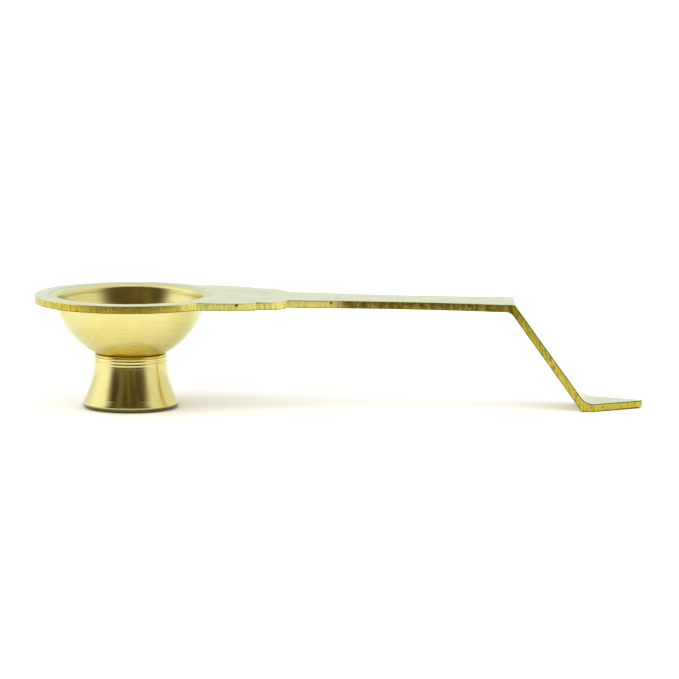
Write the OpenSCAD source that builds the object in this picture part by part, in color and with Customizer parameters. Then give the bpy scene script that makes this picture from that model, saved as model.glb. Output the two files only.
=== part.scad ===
// Hand-held brass arti lamp: one turned bowl in the round end of a sheet handle, over a flared hollow foot.
// Millimetres. The origin is on the bowl's axis, at the surface that the lamp stands on. +X runs along the
// handle.

/* [Overall] */
// Height of the handle plate's top face at the ring, above the surface that the lamp stands on
plate_h = 35.7; // [26:0.1:60]
// Distance from the bowl's axis to the tip of the foot tab
reach = 160; // [130:1:260]

/* [Handle plate] */
// Thickness of the sheet
sheet_t = 2.4; // [1.2:0.1:4]
// Width of the flat ring outside the bowl's lip
ring_w = 4.45; // [2:0.05:12]
// Fall of the strap towards its bend, in degrees
strap_fall = 1.2; // [0:0.1:4]
// How far inside the ring's edge the strap starts to fall
fall_start = 8; // [4:0.5:12]
// Angle of the leg below level, in degrees
leg_angle = 54.4; // [40:0.1:80]
// Width of the leg, and of the strap where it bends
leg_w = 19; // [16.5:0.5:30]
// Radius inside the strap's bend
strap_bend_r = 3; // [1:0.1:6]
// Radius inside the foot's bend
foot_bend_r = 5; // [1:0.1:6]
// Radius left on the outer corner of both bends
bend_corner_r = 1.2; // [0.4:0.1:3]

/* [Neck and strap] */
// Width across the first pair of lobes, next to the ring
lobe_1_w = 43.6; // [30:0.1:56]
// Radius of each first lobe's edge
lobe_1_r = 24; // [22:0.5:60]
// How far inside the ring's edge the first lobes are widest
lobe_1_back = 3; // [0:0.5:6]
// How far the first lobes reach past the ring's edge
lobe_1_len = 9.4; // [6:0.1:14]
// Width across the second pair of lobes
lobe_2_w = 34.4; // [24:0.1:40]
// Radius of each second lobe's edge
lobe_2_r = 8; // [4:0.5:12]
// Length of the second lobes past the first
lobe_2_len = 9.9; // [6:0.1:16]
// Greatest width of the strap, where it leaves the second lobes
strap_w = 20; // [16:0.1:30]
// Width of the strap at its waist
waist_w = 15.9; // [8:0.1:16]
// Distance from the strap's waist to its bend
waist_back = 31; // [15:1:50]
// Length of the straight edge between the waist's curve and the bend
waist_stop = 4; // [3:0.5:8]

/* [Foot tab] */
// Length of the tab from the leg's corner to its tip
tab_len = 18.5; // [14:0.5:40]
// Length of the tab's taper
taper_len = 16; // [8:0.5:30]
// Radius of the tab's tip
tip_r = 1.6; // [0.8:0.1:4]

/* [Bowl] */
// Outer radius of the bowl's sphere
bowl_r = 24.3; // [18:0.1:32]
// Thickness of the bowl's wall
bowl_wall = 1.3; // [0.6:0.1:3]
// Height of the sphere's centre above the plate's top face
bowl_rise = 3.3; // [0:0.1:8]
// How far the lip flares out past the bowl's sphere at the plate's top face
lip_flare = 1.4; // [1:0.1:3]
// Width of the lip's upper face, from its outer edge to the mouth's edge
lip_face_w = 2; // [1.5:0.1:2.5]
// Thickness of the lip's outer edge
lip_t = 1; // [0.6:0.1:1.4]
// How far the lip's outer edge lies below the plate's top face
lip_set = 0.1; // [0:0.05:0.4]
// How far the mouth's edge dips below the plate's top face
mouth_dip = 0.7; // [0.4:0.05:1]
// How far down the bowl's wall the flare of the lip starts
flare_depth = 1.9; // [1.8:0.05:2.2]

/* [Pedestal] */
// Radius of the pedestal's top rim
seat_r = 11.35; // [9:0.05:14]
// Width of the flat top rim round the bowl's seat
seat_rim_w = 0.75; // [0.3:0.05:2]
// Height of the straight band under the top rim
band_h = 0.6; // [0.3:0.1:2]
// Outer radius of the foot
foot_r = 15; // [13.5:0.1:22]
// Radius of the foot's rounded edge
foot_edge_r = 1.5; // [0.5:0.1:2]
// Width of the foot's underside, from its rounded edge to the hollow
foot_rim_w = 1.7; // [1:0.1:3]
// Wall beside the top of the hollow
hollow_wall = 2.55; // [1.5:0.05:4]
// Thickness of the web between the bowl and the hollow
web_t = 2.7; // [1.5:0.1:4]

/* [Rivet] */
// Radius of the rivet's shank
rivet_r = 1.6; // [1:0.1:2.5]
// Radius of the rivet's head inside the bowl
rivet_head_r = 3.2; // [2.6:0.1:5]
// Height of the rivet's head
rivet_head_h = 1.3; // [0.8:0.1:2.5]
// Radius of the rivet's hammered tail
rivet_tail_r = 2.8; // [2.6:0.1:5]
// Height of the rivet's hammered tail
rivet_tail_h = 1; // [0.6:0.1:2]

/* [Fits] */
// Gap between pieces that seat on each other
seat_gap = 0.03; // [0.01:0.01:0.1]
// Gap round the rivet's shank, and round the lip's outer edge
side_gap = 0.05; // [0.02:0.01:0.15]

/* [Hidden] */
$fn = 160;
// Sides of a full circle on the arcs that need more of them
wide_fn = 720;

// Cuts run past the faces that they cut by this much
over = 1;

// Radius at a height below the plate's top face on a sphere about the bowl's centre
function ball_r(r, depth) = sqrt(r * r - pow(bowl_rise + depth, 2));

bowl_in_r = bowl_r - bowl_wall;
bowl_z = plate_h + bowl_rise;
bowl_bottom = bowl_z - bowl_r;
hole_r = ball_r(bowl_r, 0);
lip_r = hole_r + lip_flare;
lip_in_r = ball_r(bowl_in_r, flare_depth);
lip_out_r = ball_r(bowl_r, flare_depth);
lip_under = lip_set + lip_t;
mouth_r = lip_r - lip_face_w;
recess_r = lip_r + side_gap;
ring_r = recess_r + ring_w;

// Centre line of the sheet, seen from the side: ring, strap, leg and tab
mid_z = plate_h - sheet_t / 2;
neck_x = ring_r - fall_start;
foot_x = reach - tab_len;
rise_to_bend = sheet_t / 2 + foot_x * tan(leg_angle) - mid_z - neck_x * tan(strap_fall);
bend_x = rise_to_bend / (tan(leg_angle) - tan(strap_fall));
bend_z = mid_z - (bend_x - neck_x) * tan(strap_fall);

lobe_1_end = ring_r + lobe_1_len;
lobe_2_end = lobe_1_end + lobe_2_len;
waist_x = bend_x - waist_back;

// Radius of the strap's waisted edges, which widen from the waist to the leg's width
waist_run = waist_back - waist_stop;
waist_swell = (leg_w - waist_w) / 2;
waist_edge_r = (waist_run * waist_run + waist_swell * waist_swell) / (2 * waist_swell);

body_y = 2 * (ring_r + lobe_1_w);

// The top rim lies where the bowl's sphere, with its gap, is as wide as the seat
seat_ball_r = bowl_r + seat_gap;
seat_in_r = seat_r - seat_rim_w;
seat_z = bowl_z - sqrt(seat_ball_r * seat_ball_r - seat_in_r * seat_in_r);
flare_z = seat_z - band_h;
web_z = bowl_bottom - seat_gap - web_t;
hollow_foot_r = foot_r - foot_edge_r - foot_rim_w;

// Radius of the arc that leaves the band upright and meets the foot's rounded edge smoothly
flare_k = seat_r - foot_r + foot_edge_r;
flare_h = flare_z - foot_edge_r;
flare_r = (flare_h * flare_h + flare_k * flare_k - foot_edge_r * foot_edge_r) / (2 * (foot_edge_r - flare_k));
flare_share = foot_edge_r / (flare_r + foot_edge_r);
join_x = foot_r - foot_edge_r + (seat_r + flare_r - foot_r + foot_edge_r) * flare_share;
join_z = foot_edge_r + flare_h * flare_share;

// A point on the sheet's face where two stretches meet: side is 1 for the upper face, -1 for the lower one
function face_point(p, fall_in, fall_out, side) =
    let (mean = (fall_in + fall_out) / 2, half = (fall_out - fall_in) / 2)
    p + side * sheet_t / 2 / cos(half) * [sin(mean), cos(mean)];

// Middle of the arc of radius r that touches both sides of a corner at p. The sides leave it along dir_a and
// dir_b.
function arc_centre(p, dir_a, dir_b, r) =
    p + (dir_a + dir_b) / norm(dir_a + dir_b) * r / sin(acos(dir_a * dir_b) / 2);

// Where that arc touches the side that leaves along dir_a
function arc_touch(p, dir_a, dir_b, r) = p + dir_a * r / tan(acos(dir_a * dir_b) / 2);

// What a cut takes off a corner to leave that arc
module corner_cut(p, dir_a, dir_b, r) {
    centre = arc_centre(p, dir_a, dir_b, r);
    difference() {
        polygon([2 * p - centre, arc_touch(p, dir_a, dir_b, r), centre, arc_touch(p, dir_b, dir_a, r)]);
        translate(centre) circle(r);
    }
}

// The sheet seen from the side, X across and Z up. Each inside corner takes in its arc's middle, and the arc
// is cut.
module sheet_side() {
    neck = [neck_x, mid_z];
    bend = [bend_x, bend_z];
    foot = [foot_x, sheet_t / 2];
    along_strap = [cos(strap_fall), -sin(strap_fall)];
    down_leg = [cos(leg_angle), -sin(leg_angle)];
    along_tab = [1, 0];
    bend_top = face_point(bend, strap_fall, leg_angle, 1);
    bend_under = face_point(bend, strap_fall, leg_angle, -1);
    foot_top = face_point(foot, leg_angle, 0, 1);
    foot_under = face_point(foot, leg_angle, 0, -1);
    bend_arc = arc_centre(bend_under, -along_strap, down_leg, strap_bend_r);
    foot_arc = arc_centre(foot_top, -down_leg, along_tab, foot_bend_r);
    difference() {
        polygon([
            [-ring_r - over, plate_h], face_point(neck, 0, strap_fall, 1), bend_top,
            arc_touch(foot_top, -down_leg, along_tab, foot_bend_r), foot_arc,
            arc_touch(foot_top, along_tab, -down_leg, foot_bend_r), [reach + over, sheet_t],
            [reach + over, 0], foot_under,
            arc_touch(bend_under, down_leg, -along_strap, strap_bend_r), bend_arc,
            arc_touch(bend_under, -along_strap, down_leg, strap_bend_r),
            face_point(neck, 0, strap_fall, -1), [-ring_r - over, plate_h - sheet_t]
        ]);
        translate(bend_arc) circle(strap_bend_r);
        translate(foot_arc) circle(foot_bend_r);
        corner_cut(bend_top, -along_strap, down_leg, bend_corner_r);
        corner_cut(foot_under, -down_leg, along_tab, bend_corner_r);
    }
}

// The edges of the first lobes lie on two circles, whose centres are past the middle line
module first_lobes() {
    intersection() {
        translate([ring_r - lobe_1_back, lobe_1_w / 2 - lobe_1_r]) circle(lobe_1_r);
        translate([ring_r - lobe_1_back, lobe_1_r - lobe_1_w / 2]) circle(lobe_1_r);
        translate([0, -body_y / 2]) square([lobe_1_end, body_y]);
    }
}

// The strap with its two waisted edges, the leg, and the tab with its rounded tip
module strap_leg_tab() {
    root = [reach - taper_len, leg_w / 2];
    tip_x = reach - tip_r;
    to_root = root - [tip_x, 0];
    turn = atan2(to_root.y, to_root.x) - acos(tip_r / norm(to_root));
    point = [tip_x + tip_r / cos(turn), 0];
    half = [[ring_r, strap_w / 2], [waist_x, strap_w / 2], [waist_x, leg_w / 2], root];
    other_half = [for (i = [len(half) - 1:-1:0]) [half[i].x, -half[i].y]];
    difference() {
        polygon(concat(half, [point], other_half));
        for (side = [-1, 1])
            translate([waist_x, side * (waist_w / 2 + waist_edge_r)]) circle(waist_edge_r, $fn = wide_fn);
        corner_cut(point, [-sin(turn), cos(turn)], [-sin(turn), -cos(turn)], tip_r);
    }
}

// A tall block with the sheet's outline, as seen from above
module sheet_blank(h) {
    cylinder(r = ring_r, h = h);
    linear_extrude(height = h) first_lobes();
    for (side = [-1, 1])
        translate([lobe_2_end - lobe_2_r, side * (lobe_2_w / 2 - lobe_2_r), 0]) cylinder(r = lobe_2_r, h = h);
    linear_extrude(height = h) strap_leg_tab();
}

// The hole and the recess for the bowl's lip
module mouth_cut() {
    slope = (flare_depth - lip_under) / (lip_r - lip_out_r);
    hole_edge = lip_under + seat_gap + (lip_r - hole_r) * slope;
    rotate_extrude()
        polygon([
            [0, plate_h + over], [recess_r, plate_h + over], [recess_r, plate_h - lip_under - seat_gap],
            [hole_r, plate_h - hole_edge], [hole_r, plate_h - sheet_t - over], [0, plate_h - sheet_t - over]
        ]);
}

module handle_plate() {
    color("goldenrod")
        difference() {
            intersection() {
                rotate([90, 0, 0]) linear_extrude(height = body_y, center = true) sheet_side();
                translate([0, 0, -over]) sheet_blank(plate_h + 2 * over);
            }
            mouth_cut();
        }
}

// Half of the section of the rivet's hole, through the bowl's floor and the pedestal's web
module rivet_hole() {
    translate([-over, web_z - over]) square([rivet_r + side_gap + over, web_t + bowl_wall + 3 * over]);
}

// Half of the area inside a sphere about the bowl's centre, and inside the lip that flares from it. The
// flare's first side starts inside the sphere, and leaves it at edge_r.
module cup_area(r, edge_r, lip) {
    leaves = [edge_r, -flare_depth];
    start = leaves + (leaves - lip[0]) / 2;
    intersection() {
        circle(r);
        translate([0, -bowl_r - over]) square([bowl_r + over, bowl_r + over - bowl_rise + lip[0].y]);
    }
    translate([0, -bowl_rise]) polygon(concat([[0, lip[len(lip) - 1].y], [0, start.y], start], lip));
}

module bowl() {
    color("gold")
        rotate_extrude()
            difference() {
                translate([0, bowl_z]) cup_area(bowl_r, lip_out_r, [[lip_r, -lip_under], [lip_r, -lip_set]]);
                translate([0, bowl_z])
                    cup_area(bowl_in_r, lip_in_r, [[mouth_r, -mouth_dip], [lip_r, -lip_set], [lip_r, over]]);
                rivet_hole();
            }
}

// Half of the pedestal's section: band, concave flare and rounded foot
module pedestal_section() {
    difference() {
        union() {
            translate([0, join_z]) square([seat_r, seat_z - join_z]);
            difference() {
                translate([0, join_z]) square([join_x, flare_z - join_z]);
                translate([seat_r + flare_r, flare_z]) circle(flare_r, $fn = wide_fn);
            }
            polygon([[0, 0], [foot_r - foot_edge_r, 0], [foot_r - foot_edge_r, foot_edge_r], [join_x, join_z],
                     [0, join_z]]);
            translate([foot_r - foot_edge_r, foot_edge_r]) circle(foot_edge_r);
        }
        polygon([[0, -over], [hollow_foot_r, -over], [hollow_foot_r, 0], [seat_r - hollow_wall, web_z],
                 [0, web_z]]);
        translate([0, bowl_z]) circle(seat_ball_r, $fn = wide_fn);
    }
}

module pedestal() {
    color("darkgoldenrod")
        rotate_extrude()
            difference() {
                pedestal_section();
                rivet_hole();
            }
}

// The part of a dome of this radius and height that lies above its flat side
module dome_area(r, h) {
    dome_r = (r * r + h * h) / (2 * h);
    intersection() {
        translate([0, h - dome_r]) circle(dome_r);
        square([r, h]);
    }
}

// The shank's ends run to points inside the head and the tail, so that the three are one solid
module rivet() {
    head_in_r = bowl_in_r - seat_gap;
    head_z = bowl_z - sqrt(head_in_r * head_in_r - rivet_head_r * rivet_head_r);
    tail_z = web_z - seat_gap;
    color("khaki")
        rotate_extrude() {
            intersection() {
                translate([0, bowl_z]) circle(head_in_r, $fn = wide_fn);
                union() {
                    translate([0, head_z]) dome_area(rivet_head_r, rivet_head_h);
                    translate([0, head_z - over]) square([rivet_head_r, over]);
                }
            }
            polygon([[0, tail_z - rivet_tail_h / 2], [rivet_r, tail_z], [rivet_r, head_z],
                     [0, head_z + rivet_head_h / 2]]);
            translate([0, tail_z]) mirror([0, 1]) dome_area(rivet_tail_r, rivet_tail_h);
        }
}

handle_plate();
bowl();
pedestal();
rivet();
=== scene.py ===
"""A hand-held brass arti lamp on a pale floor: handle plate, bowl, pedestal and rivet."""
import math

import bpy
from mathutils import Matrix, Vector


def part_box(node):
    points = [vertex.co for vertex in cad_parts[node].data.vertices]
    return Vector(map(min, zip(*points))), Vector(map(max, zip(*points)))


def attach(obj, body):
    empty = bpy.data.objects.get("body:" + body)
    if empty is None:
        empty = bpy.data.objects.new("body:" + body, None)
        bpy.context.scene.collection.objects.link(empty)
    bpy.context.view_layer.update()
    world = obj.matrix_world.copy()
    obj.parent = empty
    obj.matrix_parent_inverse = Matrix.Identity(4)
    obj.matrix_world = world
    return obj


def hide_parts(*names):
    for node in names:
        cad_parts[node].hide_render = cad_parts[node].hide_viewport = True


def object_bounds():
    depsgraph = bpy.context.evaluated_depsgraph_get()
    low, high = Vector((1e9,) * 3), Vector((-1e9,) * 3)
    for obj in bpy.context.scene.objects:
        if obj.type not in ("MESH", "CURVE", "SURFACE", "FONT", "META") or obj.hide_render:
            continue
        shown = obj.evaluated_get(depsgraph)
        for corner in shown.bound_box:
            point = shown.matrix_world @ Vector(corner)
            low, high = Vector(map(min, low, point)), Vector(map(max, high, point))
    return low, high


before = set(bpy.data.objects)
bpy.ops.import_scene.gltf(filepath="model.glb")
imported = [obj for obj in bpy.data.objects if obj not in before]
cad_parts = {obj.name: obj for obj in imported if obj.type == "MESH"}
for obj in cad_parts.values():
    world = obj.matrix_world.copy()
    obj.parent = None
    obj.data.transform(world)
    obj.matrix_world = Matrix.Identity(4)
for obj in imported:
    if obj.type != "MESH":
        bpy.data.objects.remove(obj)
cad_low, cad_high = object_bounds()

MM = 0.001

# ------------------------------------------- sizes, in metres: outer ones from the frame, others as made

_, plate_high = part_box("handle_plate")
bowl_low, bowl_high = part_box("bowl")
_, foot_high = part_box("pedestal")
rivet_low, rivet_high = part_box("rivet")

PLATE_TOP = plate_high.z
SHEET = 2.4 * MM                        # thickness of the handle plate
LIP_R = bowl_high.x                     # outer edge of the bowl's lip
BOWL_R = 24.3 * MM                      # outside of the bowl's sphere
BOWL_WALL = 1.3 * MM
RIVET_HOLE = 1.65 * MM
BOWL_CENTRE = bowl_low.z + math.sqrt(BOWL_R ** 2 - RIVET_HOLE ** 2)
FLARE_DEPTH = 1.9 * MM                  # where the lip flares from the outside, below the plate's top face
MOUTH_DEPTH = 1.35 * MM                 # and from the inside
MOUTH_ROUND = 1.55 * MM                 # round of the mouth's edge
LIP_TOP = 0.03 * MM                     # top of the lip, below the plate's top face
LIP_UNDER = 1.1 * MM                    # underside of the lip's edge, below the plate's top face
LIP_EDGE_ROUND = 0.1 * MM               # upper round of the lip's edge
LIP_UNDER_ROUND = 0.28 * MM             # and lower round
SEAT_GAP = 0.03 * MM                    # between pieces that seat on each other

ARRIS = 0.32 * MM                       # rounding of the sheet's cut edges
LEG_ANGLE = math.radians(54.4)
LEG_TOP_X = 119.4 * MM                  # where the leg leaves the strap's bend
LEG_FOOT_X = 142 * MM                   # where it reaches the foot's bend
TIP_ROUND = 2.6 * MM                    # length of the round under the tab's tip
TIP_LIFT = 1.1 * MM
ARRIS_UNSHADED_TO = 66 * MM                   # the upper arris keeps the plain polished brass up to here, and is painted dark as shade beyond
ON_FACE = 0.985                         # how squarely a facet looks the sheet's way to belong to its faces
ON_UNSHADED_ARRIS = 0.6                         # and to the part of the strap's upper arris left without painted shade
ON_EDGE = 0.15                          # and at most, to belong to its cut edge

SEAT_R = 11.35 * MM                     # top rim of the pedestal
FOOT_R = foot_high.x                    # widest part of the foot
FOOT_EDGE = 1.5 * MM                    # round of the foot's edge
FOOT_RIM = 1.7 * MM                     # width of the ring that the foot stands on
BAND = 0.6 * MM                         # straight band under the seat's rim
HOLLOW_TOP = 11.97 * MM                 # ceiling of the hollow under the pedestal
HOLLOW_TOP_R = 8.8 * MM
FOOT_BREAK = 0.25 * MM                  # broken corners of the hollow
SHOULDER = 0.55 * MM                    # round of the top rim's edge

HEAD_R = rivet_high.x                   # the rivet's head
TAIL_R = 2.8 * MM
SHANK_R = 1.6 * MM
ON_AXIS = 0.0004 * MM                   # radius of a point that closes on the axis


# ---------------------------------------------------------------- bench tools

def pick_nothing():
    """Leave no object selected and no object active."""
    for thing in bpy.context.selected_objects:
        thing.select_set(False)
    bpy.context.view_layer.objects.active = None


def pick(thing):
    """Select one object alone, and make it active."""
    pick_nothing()
    thing.select_set(True)
    bpy.context.view_layer.objects.active = thing


def edit(mode="VERT"):
    bpy.ops.object.mode_set(mode="EDIT")
    bpy.ops.mesh.select_mode(type=mode)


def done():
    bpy.ops.object.mode_set(mode="OBJECT")


def arc(centre, radius, start, end, count):
    """Points on an arc in the (radius, height) plane, with angles in degrees from the radius axis."""
    points = []
    for i in range(count + 1):
        turn = math.radians(start + (end - start) * i / count)
        points.append((centre[0] + radius * math.cos(turn), centre[1] + radius * math.sin(turn)))
    return points


def turned(name, outline, steps=160, crease=32):
    """A turned piece: its closed outline of (radius, height) is drawn point by point, then spun round Z."""
    pick_nothing()
    bpy.ops.mesh.primitive_plane_add(size=MM, location=(0, 0, 0))
    piece = bpy.context.object
    piece.name = name
    edit()
    bpy.ops.mesh.select_all(action="SELECT")
    bpy.ops.mesh.merge(type="CENTER")
    bpy.ops.transform.translate(value=(outline[0][0], 0, outline[0][1]))
    for here, there in zip(outline, outline[1:]):
        step = (there[0] - here[0], 0, there[1] - here[1])
        bpy.ops.mesh.extrude_vertices_move(TRANSFORM_OT_translate={"value": step})
    done()
    piece.data.vertices[0].select = True
    piece.data.vertices[-1].select = True
    edit()
    bpy.ops.mesh.edge_face_add()
    bpy.ops.mesh.select_all(action="SELECT")
    bpy.ops.mesh.spin(steps=steps, angle=2 * math.pi, center=(0, 0, 0), axis=(0, 0, 1))
    bpy.ops.mesh.select_all(action="SELECT")
    bpy.ops.mesh.remove_doubles(threshold=0.002 * MM)
    bpy.ops.mesh.normals_make_consistent(inside=False)
    done()
    smooth(piece, crease)
    return piece


def smooth(piece, crease):
    """Smooth shading that keeps edges sharper than this many degrees."""
    pick(piece)
    bpy.ops.object.shade_smooth_by_angle(angle=math.radians(crease))
    pick_nothing()


def finish_piece(piece, node, slot, *materials):
    """Give a piece its materials, and let it stand for its CAD node."""
    piece.data.materials.clear()
    for material in materials:
        piece.data.materials.append(material)
    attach(piece, "root")
    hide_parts(node)


# ---------------------------------------------------------------- materials

class Wiring:
    """A material with a brass shader, and short calls for the nodes that feed it."""

    def __init__(self, name):
        self.material = bpy.data.materials.new(name)
        self.material.use_nodes = True
        self.nodes = self.material.node_tree.nodes
        self.links = self.material.node_tree.links
        self.shader = self.nodes["Principled BSDF"]
        self.shader.inputs["Metallic"].default_value = 1.0
        self.place = self.nodes.new("ShaderNodeTexCoord").outputs["Object"]

    def join(self, source, target):
        self.links.new(source, target)

    def stretched(self, scale):
        """The object's coordinates with each axis stretched."""
        node = self.nodes.new("ShaderNodeMapping")
        node.inputs["Scale"].default_value = scale
        self.join(self.place, node.inputs["Vector"])
        return node.outputs["Vector"]

    def noise(self, scale, detail=4.0, rough=0.5, vector=None):
        node = self.nodes.new("ShaderNodeTexNoise")
        node.inputs["Scale"].default_value = scale
        node.inputs["Detail"].default_value = detail
        node.inputs["Roughness"].default_value = rough
        self.join(vector or self.place, node.inputs["Vector"])
        return node.outputs["Fac"]

    def along(self, axis):
        """One of the object's coordinates."""
        node = self.nodes.new("ShaderNodeSeparateXYZ")
        self.join(self.place, node.inputs["Vector"])
        return node.outputs[axis]

    def pits(self, scale, size):
        """1 in small round pits scattered at random, 0 between them."""
        node = self.nodes.new("ShaderNodeTexVoronoi")
        node.inputs["Scale"].default_value = scale
        self.join(self.place, node.inputs["Vector"])
        return self.ramp(node.outputs["Distance"], 0.0, size, 1.0, 0.0)

    def ramp(self, value, low, high, out_low=0.0, out_high=1.0):
        node = self.nodes.new("ShaderNodeMapRange")
        node.interpolation_type = "SMOOTHSTEP"
        limits = {"From Min": low, "From Max": high, "To Min": out_low, "To Max": out_high}
        for name, number in limits.items():
            node.inputs[name].default_value = number
        self.join(value, node.inputs["Value"])
        return node.outputs["Result"]

    def between(self, value, stretch):
        """1 in the middle of a stretch, fading to 0 at its two ends."""
        start, full, full_to, gone = stretch
        rise = self.ramp(value, start, full)
        return self.maths("MULTIPLY", rise, self.ramp(value, full_to, gone, 1.0, 0.0))

    def maths(self, job, a, b):
        node = self.nodes.new("ShaderNodeMath")
        node.operation = job
        for socket, value in zip(node.inputs, (a, b)):
            if isinstance(value, (int, float)):
                socket.default_value = value
            else:
                self.join(value, socket)
        return node.outputs["Value"]

    def blend(self, share, a, b):
        """Colour a turning to colour b as share goes from 0 to 1."""
        node = self.nodes.new("ShaderNodeMix")
        node.data_type = "RGBA"
        self.join(share, node.inputs["Factor"])
        for socket, value in ((node.inputs["A"], a), (node.inputs["B"], b)):
            if isinstance(value, tuple):
                socket.default_value = (*value, 1.0)
            else:
                self.join(value, socket)
        return node.outputs["Result"]

    def bumps(self, *layers):
        """Height maps one over the other, each with its depth in metres."""
        below = None
        for height, depth in layers:
            node = self.nodes.new("ShaderNodeBump")
            node.inputs["Strength"].default_value = 1.0
            node.inputs["Distance"].default_value = depth
            self.join(height, node.inputs["Height"])
            if below:
                self.join(below, node.inputs["Normal"])
            below = node.outputs["Normal"]
        self.join(below, self.shader.inputs["Normal"])


BRASS = (0.75, 0.685, 0.285)
BRASS_WARM = (0.73, 0.62, 0.2)
BRASS_CUT = (0.55, 0.455, 0.05)
# A painted highlight for the cut edge on the lobed neck
BRASS_LOBE_HIGHLIGHT = (0.98, 0.90, 0.26)
BRASS_OLIVE = (0.25, 0.2, 0.02)
# Dark brass for dents, and for painted shade on the strap's cut edge and on the arrises
BRASS_DARK = (0.17, 0.125, 0.015)
BRASS_STREAK = (0.36, 0.28, 0.07)
# A painted reflection of the pedestal, low on the bowl's outside
PAINTED_ORANGE_REFLECTION = (0.72, 0.45, 0.03)
# Dark pits, and painted shade on the arrises and along the foot's bottom edge
TARNISH_AND_SHADE = (0.07, 0.05, 0.01)
PALE_SHEEN = (0.86, 0.95, 1.0, 1.0)

# Where the cut edge gets a painted highlight on the lobed neck, and painted shade along the strap: from,
# full, full to, gone
LOBE_HIGHLIGHT_SPAN = (13 * MM, 22 * MM, 62 * MM, 68 * MM)
STRAP_SHADE_SPAN = (64 * MM, 69 * MM, 118 * MM, 124 * MM)

# Two small pits on the near edge of the handle plate
PITS = [(33.5 * MM, -21.0 * MM, 34.9 * MM), (62.6 * MM, -9.1 * MM, 34.2 * MM)]


def polished_sheet():
    """The handle plate's faces: polished along the strap, with soft clouds of handling marks."""
    w = Wiring("polished_sheet")
    w.shader.inputs["Specular Tint"].default_value = PALE_SHEEN
    clouds = w.noise(90, 5, 0.6)
    scratches = w.noise(1, 6, 0.7, w.stretched((220, 5200, 5200)))
    dings = w.pits(160, 0.09)
    tone = w.blend(w.ramp(clouds, 0.35, 0.75), BRASS, BRASS_WARM)
    w.join(w.blend(w.maths("MULTIPLY", dings, 0.6), tone, BRASS_DARK), w.shader.inputs["Base Color"])
    rough = w.maths("ADD", w.ramp(clouds, 0.3, 0.8, 0.12, 0.2), w.ramp(scratches, 0.4, 0.7, 0.0, 0.06))
    w.join(rough, w.shader.inputs["Roughness"])
    w.bumps((w.noise(45, 2, 0.4), 0.04 * MM), (scratches, 0.003 * MM), (dings, -0.02 * MM))
    return w.material


def sheared_edge():
    """The handle plate's cut edges: upright shear marks, a flat painted highlight on the lobed neck, painted
    shade along the strap, small pits.
    """
    w = Wiring("sheared_edge")
    strokes = w.noise(1, 5, 0.75, w.stretched((2300, 2300, 320)))
    clouds = w.noise(110, 4, 0.65)
    x = w.along("X")
    lobe_highlight = w.between(x, LOBE_HIGHLIGHT_SPAN)
    strap_shade = w.between(x, STRAP_SHADE_SPAN)
    pits = w.pits(330, 0.1)
    for place in PITS:
        away = w.nodes.new("ShaderNodeVectorMath")
        away.operation = "DISTANCE"
        away.inputs[1].default_value = place
        w.join(w.place, away.inputs[0])
        pits = w.maths("MAXIMUM", pits, w.ramp(away.outputs["Value"], 0.25 * MM, 0.65 * MM, 1.0, 0.0))
    # tone holds the painted highlight on the cut edge of the lobed neck
    tone = w.blend(lobe_highlight, BRASS_CUT, BRASS_LOBE_HIGHLIGHT)
    marks = w.maths("MULTIPLY", w.ramp(strokes, 0.46, 0.62), w.ramp(lobe_highlight, 0, 1, 0.85, 0.4))
    marked_and_highlighted = w.blend(marks, w.blend(w.ramp(clouds, 0.4, 0.7, 0.0, 0.4), tone, BRASS_WARM), BRASS_OLIVE)
    shade_breakup = w.noise(1, 4, 0.7, w.stretched((620, 620, 240)))
    # Painted shade along the strap's cut edge, broken into patches
    patchy_strap_shade = w.maths("MULTIPLY", strap_shade, w.ramp(shade_breakup, 0.4, 0.62, 0.98, 0.3))
    w.join(w.blend(pits, w.blend(patchy_strap_shade, marked_and_highlighted, BRASS_DARK), TARNISH_AND_SHADE), w.shader.inputs["Base Color"])
    w.join(w.maths("ADD", w.ramp(strokes, 0.3, 0.8, 0.17, 0.3), w.maths("MULTIPLY", lobe_highlight, 0.3)),
           w.shader.inputs["Roughness"])
    w.bumps((strokes, 0.05 * MM), (w.noise(900, 4, 0.6), 0.014 * MM), (pits, -0.08 * MM))
    return w.material


def shaded_arris():
    """The narrow arris along the sheet's cut edges, dull, and painted dark as shade."""
    w = Wiring("shaded_arris")
    clouds = w.noise(260, 4, 0.6)
    w.join(w.blend(w.ramp(clouds, 0.4, 0.62), BRASS_DARK, TARNISH_AND_SHADE), w.shader.inputs["Base Color"])
    w.join(w.ramp(clouds, 0.3, 0.7, 0.28, 0.42), w.shader.inputs["Roughness"])
    w.bumps((w.noise(1, 4, 0.7, w.stretched((1800, 1800, 400))), 0.02 * MM))
    return w.material


def turned_brass(name, rings, depth, rough, streak=0.0, painted_band=None):
    """Brass from the lathe: fine rings round the axis, under a polish. The last argument, if given, is a
    band of painted light, strongest at the first height and gone by the second: (colour, from z, to z).
    """
    w = Wiring(name)
    w.shader.inputs["Specular Tint"].default_value = PALE_SHEEN
    fine = w.noise(1, 5, 0.7, w.stretched((40, 40, rings)))
    clouds = w.noise(70, 4, 0.6)
    tone = w.blend(w.ramp(clouds, 0.4, 0.75), BRASS, BRASS_WARM)
    tone = w.blend(w.ramp(fine, 0.45, 0.7, 0.0, streak), tone, BRASS_STREAK)
    # A band of painted light: painted reflection on the bowl, painted shade on the pedestal's foot
    if painted_band:
        colour, low, high = painted_band
        tone = w.blend(w.ramp(w.along("Z"), low, high, 0.9, 0.0), tone, colour)
    w.join(tone, w.shader.inputs["Base Color"])
    w.join(w.maths("ADD", w.ramp(clouds, 0.3, 0.8, rough, rough + 0.05), w.ramp(fine, 0.4, 0.7, 0.0, 0.08)),
           w.shader.inputs["Roughness"])
    w.bumps((fine, depth), (w.noise(500, 3, 0.5), 0.003 * MM), (w.noise(130, 2, 0.5), 0.02 * MM))
    return w.material


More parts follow.
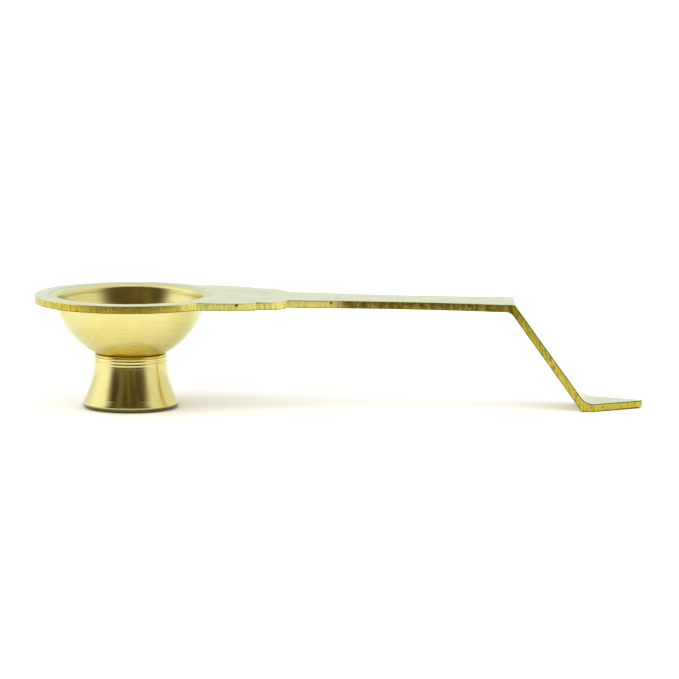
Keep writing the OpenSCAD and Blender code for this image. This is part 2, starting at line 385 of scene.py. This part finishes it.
def hammered_brass():
    """The rivet: dull, with small hammer facets."""
    w = Wiring("hammered_brass")
    facets = w.nodes.new("ShaderNodeTexVoronoi")
    facets.inputs["Scale"].default_value = 900
    w.join(w.place, facets.inputs["Vector"])
    clouds = w.noise(300, 3, 0.5)
    w.join(w.blend(w.ramp(clouds, 0.35, 0.7), BRASS, BRASS_WARM), w.shader.inputs["Base Color"])
    w.join(w.ramp(clouds, 0.3, 0.7, 0.24, 0.36), w.shader.inputs["Roughness"])
    w.bumps((facets.outputs["Distance"], 0.12 * MM), (clouds, 0.02 * MM))
    return w.material


# ---------------------------------------------------------------- pieces

def sheet_normal(x, z):
    """The way the sheet's upper face looks: up along the strap and tab, and outwards on the leg."""
    if LEG_TOP_X < x < LEG_FOOT_X and z > 2 * SHEET:
        return Vector((math.sin(LEG_ANGLE), 0, math.cos(LEG_ANGLE)))
    return Vector((0, 0, 1))


def edge_kind(face):
    """0 on the sheet's faces, 1 on its cut edge, 2 on the dull arris between them, painted dark as shade."""
    lean = abs(face.normal.dot(sheet_normal(face.center.x, face.center.z)))
    on_bends = LEG_TOP_X - SHEET < face.center.x < LEG_FOOT_X + 2 * SHEET
    if abs(face.normal.y) < 0.1 and on_bends:
        return 0
    if lean < ON_EDGE:
        return 1
    if lean > ON_FACE:
        return 0
    above = face.normal.dot(sheet_normal(face.center.x, face.center.z)) > 0
    # Where the upper arris keeps the polished brass; everywhere else the arris is painted dark as shade
    arris_left_plain = face.center.x < ARRIS_UNSHADED_TO or (lean > ON_UNSHADED_ARRIS and face.center.x < LEG_TOP_X)
    return 0 if above and arris_left_plain else 2


def near_lip(point):
    """Whether a point is by the hole and recess for the bowl's lip."""
    return math.hypot(point.x, point.y) < LIP_R + 0.5 * MM


def round_tip(piece):
    """Lift the lower side of the tab's tip into a round, as it comes off the grinding wheel."""
    for point in piece.data.vertices:
        into = (point.co.x - (plate_high.x - TIP_ROUND)) / TIP_ROUND
        if into > 0 and point.co.z < SHEET / 2:
            lift = (1 - math.sqrt(max(0, 1 - into ** 2))) * TIP_LIFT
            point.co.z += lift * (1 - point.co.z / SHEET)


def handle_plate():
    """The sheet as cut and bent, with its arrises broken by the die and the buffing wheel."""
    pick_nothing()
    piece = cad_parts["handle_plate"].copy()
    piece.data = piece.data.copy()
    piece.name = "handle_plate_sheet"
    for key in [k for k in piece.keys() if k.startswith("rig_")]:
        del piece[key]
    bpy.context.scene.collection.objects.link(piece)
    pick(piece)
    edit()
    bpy.ops.mesh.select_all(action="SELECT")
    bpy.ops.mesh.remove_doubles(threshold=0.006 * MM)
    bpy.ops.mesh.dissolve_limited(angle_limit=math.radians(0.5))
    bpy.ops.mesh.customdata_custom_splitnormals_clear()
    bpy.ops.mesh.select_all(action="DESELECT")
    bpy.ops.mesh.select_mode(type="EDGE")
    bpy.ops.mesh.edges_select_sharp(sharpness=math.radians(40))
    done()
    points = piece.data.vertices
    for line in piece.data.edges:
        if line.select and all(near_lip(points[i].co) for i in line.vertices):
            line.select = False
    bpy.ops.object.mode_set(mode="EDIT")
    bpy.ops.mesh.bevel(offset=ARRIS, segments=3, affect="EDGES", clamp_overlap=True)
    done()
    round_tip(piece)
    evening = piece.modifiers.new("flat_faces_stay_flat", "WEIGHTED_NORMAL")
    evening.keep_sharp = True
    smooth(piece, 30)
    pick(piece)
    bpy.ops.object.modifier_apply(modifier=evening.name)
    pick_nothing()
    finish_piece(piece, "handle_plate", "plate_brass", polished_sheet(), sheared_edge(), shaded_arris())
    for face in piece.data.polygons:
        face.material_index = edge_kind(face)
    return piece


def bowl_outline():
    """The bowl's section: inside, trumpet flare, rounded lip, underside of the lip, outside."""
    inner = BOWL_R - BOWL_WALL
    centre = (0, BOWL_CENTRE)
    depth_to_centre = BOWL_CENTRE - PLATE_TOP
    floor_turn = -90 + math.degrees(math.asin(RIVET_HOLE / inner))
    wall_turn = -math.degrees(math.asin((depth_to_centre + MOUTH_DEPTH) / inner))
    inside = arc(centre, inner, floor_turn, wall_turn, 72)
    side_x, side_z = inside[-1]
    middle = (side_x + MOUTH_ROUND * math.cos(math.radians(wall_turn)),
              side_z + MOUTH_ROUND * math.sin(math.radians(wall_turn)))
    flare = arc(middle, MOUTH_ROUND, wall_turn + 180, 92, 14)[1:]
    upper = (LIP_R - LIP_EDGE_ROUND, PLATE_TOP - LIP_TOP - LIP_EDGE_ROUND)
    lower = (LIP_R - LIP_UNDER_ROUND, PLATE_TOP - LIP_UNDER + LIP_UNDER_ROUND)
    edge = arc(upper, LIP_EDGE_ROUND, 90, 0, 4) + arc(lower, LIP_UNDER_ROUND, 0, -66, 4)
    leave_turn = -math.degrees(math.asin((depth_to_centre + FLARE_DEPTH) / BOWL_R))
    low_turn = -90 + math.degrees(math.asin(RIVET_HOLE / BOWL_R))
    outside = arc(centre, BOWL_R, leave_turn - 0.6, low_turn, 72)
    return inside + flare + edge + outside


def bowl():
    piece = turned("bowl_cup", bowl_outline(), steps=180)
    # The orange band low on the outside, by the pedestal, is a painted reflection of the pedestal
    outside = turned_brass("bowl_outside", 2600, 0.006 * MM, 0.2, painted_band=(PAINTED_ORANGE_REFLECTION, 17.5 * MM, 21.5 * MM))
    inside = turned_brass("bowl_inside", 1500, 0.05 * MM, 0.19, streak=0.5)
    finish_piece(piece, "bowl", "bowl_brass", outside, inside)
    middle = Vector((0, 0, BOWL_CENTRE))
    reach = BOWL_R - BOWL_WALL / 2
    for face in piece.data.polygons:
        if (face.center - middle).length < reach and face.center.z < PLATE_TOP - FLARE_DEPTH / 2:
            face.material_index = 1
    return piece


# Turned lines on the pedestal: height, half width and depth of each. A negative depth stands proud.
TURNED_LINES = [(16.37 * MM, 0.2 * MM, 0.3 * MM), (15.5 * MM, 0.42 * MM, -0.07 * MM),
                (14.95 * MM, 0.22 * MM, 0.1 * MM), (14.5 * MM, 0.18 * MM, -0.03 * MM),
                (14.05 * MM, 0.16 * MM, 0.02 * MM), (3.6 * MM, 0.3 * MM, 0.03 * MM)]


def line_cut(height):
    """How much the turned lines take off the pedestal's radius at a height."""
    cut = 0
    for at, half, depth in TURNED_LINES:
        away = abs(height - at) / half
        if away < 1:
            cut += depth * (0.5 + 0.5 * math.cos(math.pi * away))
    return cut


def pedestal_outline():
    """The pedestal's section: hole, hollow, under the foot, up the flare and over the seat."""
    seat_z = foot_high.z
    band_z = seat_z - BAND
    stand_r = FOOT_R - FOOT_EDGE
    k = SEAT_R - stand_r
    h = band_z - FOOT_EDGE
    flare_r = (h * h + k * k - FOOT_EDGE ** 2) / (2 * (FOOT_EDGE - k))
    flare_x = SEAT_R + flare_r
    join = math.degrees(math.atan2(band_z - FOOT_EDGE, flare_x - stand_r))
    join_z = FOOT_EDGE + FOOT_EDGE * math.sin(math.radians(join))
    hollow_foot_r = stand_r - FOOT_RIM
    points = [(RIVET_HOLE, HOLLOW_TOP), (HOLLOW_TOP_R - FOOT_BREAK, HOLLOW_TOP),
              (HOLLOW_TOP_R, HOLLOW_TOP - FOOT_BREAK), (hollow_foot_r - FOOT_BREAK / 3, FOOT_BREAK),
              (hollow_foot_r + FOOT_BREAK, 0)]
    points += arc((stand_r, FOOT_EDGE), FOOT_EDGE, -90, join, 14)
    count = 230
    for i in range(1, count + 1):
        z = join_z + (seat_z - SHOULDER - join_z) * i / count
        below_band = max(0, band_z - z)
        points.append((flare_x - math.sqrt(flare_r ** 2 - below_band ** 2) - line_cut(z), z))
    points += arc((SEAT_R - SHOULDER, seat_z - SHOULDER), SHOULDER, 0, 86, 8)[1:]
    seat = BOWL_R + SEAT_GAP
    top_turn = -math.degrees(math.acos(math.sqrt(seat ** 2 - (BOWL_CENTRE - seat_z) ** 2) / seat))
    low_turn = -90 + math.degrees(math.asin(RIVET_HOLE / seat))
    points += arc((0, BOWL_CENTRE), seat, top_turn, low_turn, 12)
    return points


def pedestal():
    piece = turned("pedestal_foot", pedestal_outline(), steps=160, crease=40)
    # A dark band painted along the foot's bottom edge: painted shade, the contact shadow that its rounded
    # edge reflects
    painted_foot_shade = (TARNISH_AND_SHADE, 1.0 * MM, 1.8 * MM)
    brass = turned_brass("pedestal_turned", 2400, 0.008 * MM, 0.14, streak=0.06, painted_band=painted_foot_shade)
    finish_piece(piece, "pedestal", "pedestal_brass", brass)
    return piece


def dome(radius, height, count):
    """Points of a low dome's section, from its edge to its top on the axis."""
    ball = (radius ** 2 + height ** 2) / (2 * height)
    edge = math.degrees(math.acos(radius / ball))
    return arc((0, height - ball), ball, edge, 90, count)


def rivet():
    """Domed head in the bowl, shank, and hammered tail under the web."""
    seat = BOWL_R - BOWL_WALL - SEAT_GAP
    head_z = BOWL_CENTRE - math.sqrt(seat ** 2 - HEAD_R ** 2)
    tail_z = HOLLOW_TOP - SEAT_GAP
    head = [(x, z + head_z) for x, z in dome(HEAD_R, rivet_high.z - head_z, 14)]
    tail = [(x, tail_z - z) for x, z in dome(TAIL_R, tail_z - rivet_low.z, 12)]
    neck_z = BOWL_CENTRE - math.sqrt(seat ** 2 - SHANK_R ** 2)
    head[-1] = (ON_AXIS, head[-1][1])
    tail[-1] = (ON_AXIS, tail[-1][1])
    outline = tail[::-1] + [(SHANK_R, tail_z), (SHANK_R, neck_z)] + head
    piece = turned("rivet_dome_head", outline, steps=64, crease=35)
    finish_piece(piece, "rivet", "rivet_brass", hammered_brass())
    return piece


# ---------------------------------------------------------------- floor, light and camera

def plain(name, colour, rough):
    """A plain matt material for something on the stage."""
    material = bpy.data.materials.new(name)
    material.use_nodes = True
    shader = material.node_tree.nodes["Principled BSDF"]
    shader.inputs["Base Color"].default_value = (*colour, 1)
    shader.inputs["Roughness"].default_value = rough
    shader.inputs["Specular IOR Level"].default_value = 0.1
    return material


def floor():
    """A pale studio floor."""
    pick_nothing()
    bpy.ops.mesh.primitive_plane_add(size=14, location=(0, 3, cad_low.z))
    sheet = bpy.context.object
    sheet.name = "floor"
    sheet.data.materials.append(plain("pale_floor", (0.92, 0.92, 0.92), 0.9))


def reflected_shade_card():
    """A dark card just above the floor in front of the lamp, seen only in the brass's reflections: painted
    shade reflected in the lamp's front-facing edges.
    """
    pick_nothing()
    deep = SHADE_CARD_FAR - SHADE_CARD_NEAR
    middle = -(SHADE_CARD_NEAR + SHADE_CARD_FAR) / 2
    bpy.ops.mesh.primitive_plane_add(size=1, location=(0, middle, cad_low.z + 0.5 * MM))
    shade_card = bpy.context.object
    shade_card.name = "reflected_shade_card"
    shade_card.scale = (3, deep, 1)
    shade_card.visible_camera = shade_card.visible_diffuse = shade_card.visible_shadow = False
    shade_card.data.materials.append(plain("painted_shade_card", (0.12, 0.1, 0.03), 0.9))


SHADE_CARD_NEAR = 0.205                      # metres in front of the lamp
SHADE_CARD_FAR = 1.9
ROOM_FRONT = (-0.12, -1.0, 0.32)        # middle of the unlit side of the room
ROOM_LEFT = (-1.0, -0.2, 0.45)          # middle of the bright window side
SKY = (1.0, 1.0, 1.0, 1.0)
WINDOW = (1.3, 1.3, 1.35, 1.0)
UNLIT = (0.21, 0.165, 0.06, 1.0)
UNLIT_DEEP = (0.05, 0.04, 0.015, 1.0)


def studio():
    """Soft white light all round, brighter from the left, and an unlit side behind the camera."""
    world = bpy.data.worlds.new("studio")
    bpy.context.scene.world = world
    world.use_nodes = True
    nodes, links = world.node_tree.nodes, world.node_tree.links
    way = nodes.new("ShaderNodeTexCoord").outputs["Generated"]

    def near(direction, start, full):
        """How near the view is to a direction, as a share from 0 to 1."""
        toward = nodes.new("ShaderNodeVectorMath")
        toward.operation = "DOT_PRODUCT"
        toward.inputs[1].default_value = Vector(direction).normalized()
        links.new(way, toward.inputs[0])
        edge = nodes.new("ShaderNodeMapRange")
        edge.interpolation_type = "SMOOTHSTEP"
        edge.inputs["From Min"].default_value = math.cos(math.radians(start))
        edge.inputs["From Max"].default_value = math.cos(math.radians(full))
        links.new(toward.outputs["Value"], edge.inputs["Value"])
        return edge.outputs["Result"]

    def mix(share, a, b):
        node = nodes.new("ShaderNodeMix")
        node.data_type = "RGBA"
        links.new(share, node.inputs["Factor"])
        for socket, value in ((node.inputs["A"], a), (node.inputs["B"], b)):
            if isinstance(value, tuple):
                socket.default_value = value
            else:
                links.new(value, socket)
        return node.outputs["Result"]

    folds = nodes.new("ShaderNodeTexNoise")
    folds.inputs["Scale"].default_value = 1.0
    folds.inputs["Detail"].default_value = 3.0
    stretch = nodes.new("ShaderNodeMapping")
    stretch.inputs["Scale"].default_value = (7, 2, 1.2)
    links.new(way, stretch.inputs["Vector"])
    links.new(stretch.outputs["Vector"], folds.inputs["Vector"])
    share = nodes.new("ShaderNodeMapRange")
    share.inputs["From Min"].default_value = 0.4
    share.inputs["From Max"].default_value = 0.6
    links.new(folds.outputs["Fac"], share.inputs["Value"])
    dark = mix(share.outputs["Result"], UNLIT, UNLIT_DEEP)
    light = mix(near(ROOM_LEFT, 55, 25), SKY, WINDOW)
    links.new(mix(near(ROOM_FRONT, 66, 43), light, dark), nodes["Background"].inputs["Color"])


def fill_light(name, way, strength):
    """A wide soft light on the floor, which leaves no highlight on the brass."""
    pick_nothing()
    bpy.ops.object.light_add(type="SUN", location=way)
    lamp = bpy.context.object
    lamp.name = name
    lamp.data.energy = strength
    lamp.data.angle = math.radians(70)
    lamp.visible_glossy = False
    lamp.rotation_euler = Vector(way).to_track_quat("Z", "Y").to_euler()


CAMERA_LIFT = 7.9                       # degrees above level
CAMERA_ROLL = 0.1                       # degrees
CAMERA_FAR = 2.03                       # metres from what it looks at
VIEW_WIDTH = 0.2122                     # metres across the picture at the object
AIM = Vector((0.0653, 0, 0.0214))


def camera():
    data = bpy.data.cameras.new("camera")
    thing = bpy.data.objects.new("camera", data)
    bpy.context.scene.collection.objects.link(thing)
    lift = math.radians(CAMERA_LIFT)
    thing.location = AIM + CAMERA_FAR * Vector((0, -math.cos(lift), math.sin(lift)))
    tilt = Matrix.Rotation(math.radians(90) - lift, 4, "X")
    roll = Matrix.Rotation(math.radians(CAMERA_ROLL), 4, "Z")
    thing.rotation_euler = (tilt @ roll).to_euler()
    data.sensor_width = 36
    data.lens = data.sensor_width * CAMERA_FAR / VIEW_WIDTH
    data.clip_start, data.clip_end = 0.05, 50
    bpy.context.scene.camera = thing


bpy.context.scene.view_settings.view_transform = "Standard"
handle_plate()
bowl()
pedestal()
rivet()
floor()
studio()
reflected_shade_card()
fill_light("front_left_fill", (-0.8, -1.0, 0.9), 2.0)
fill_light("front_right_fill", (0.9, -0.9, 1.0), 1.4)
camera()
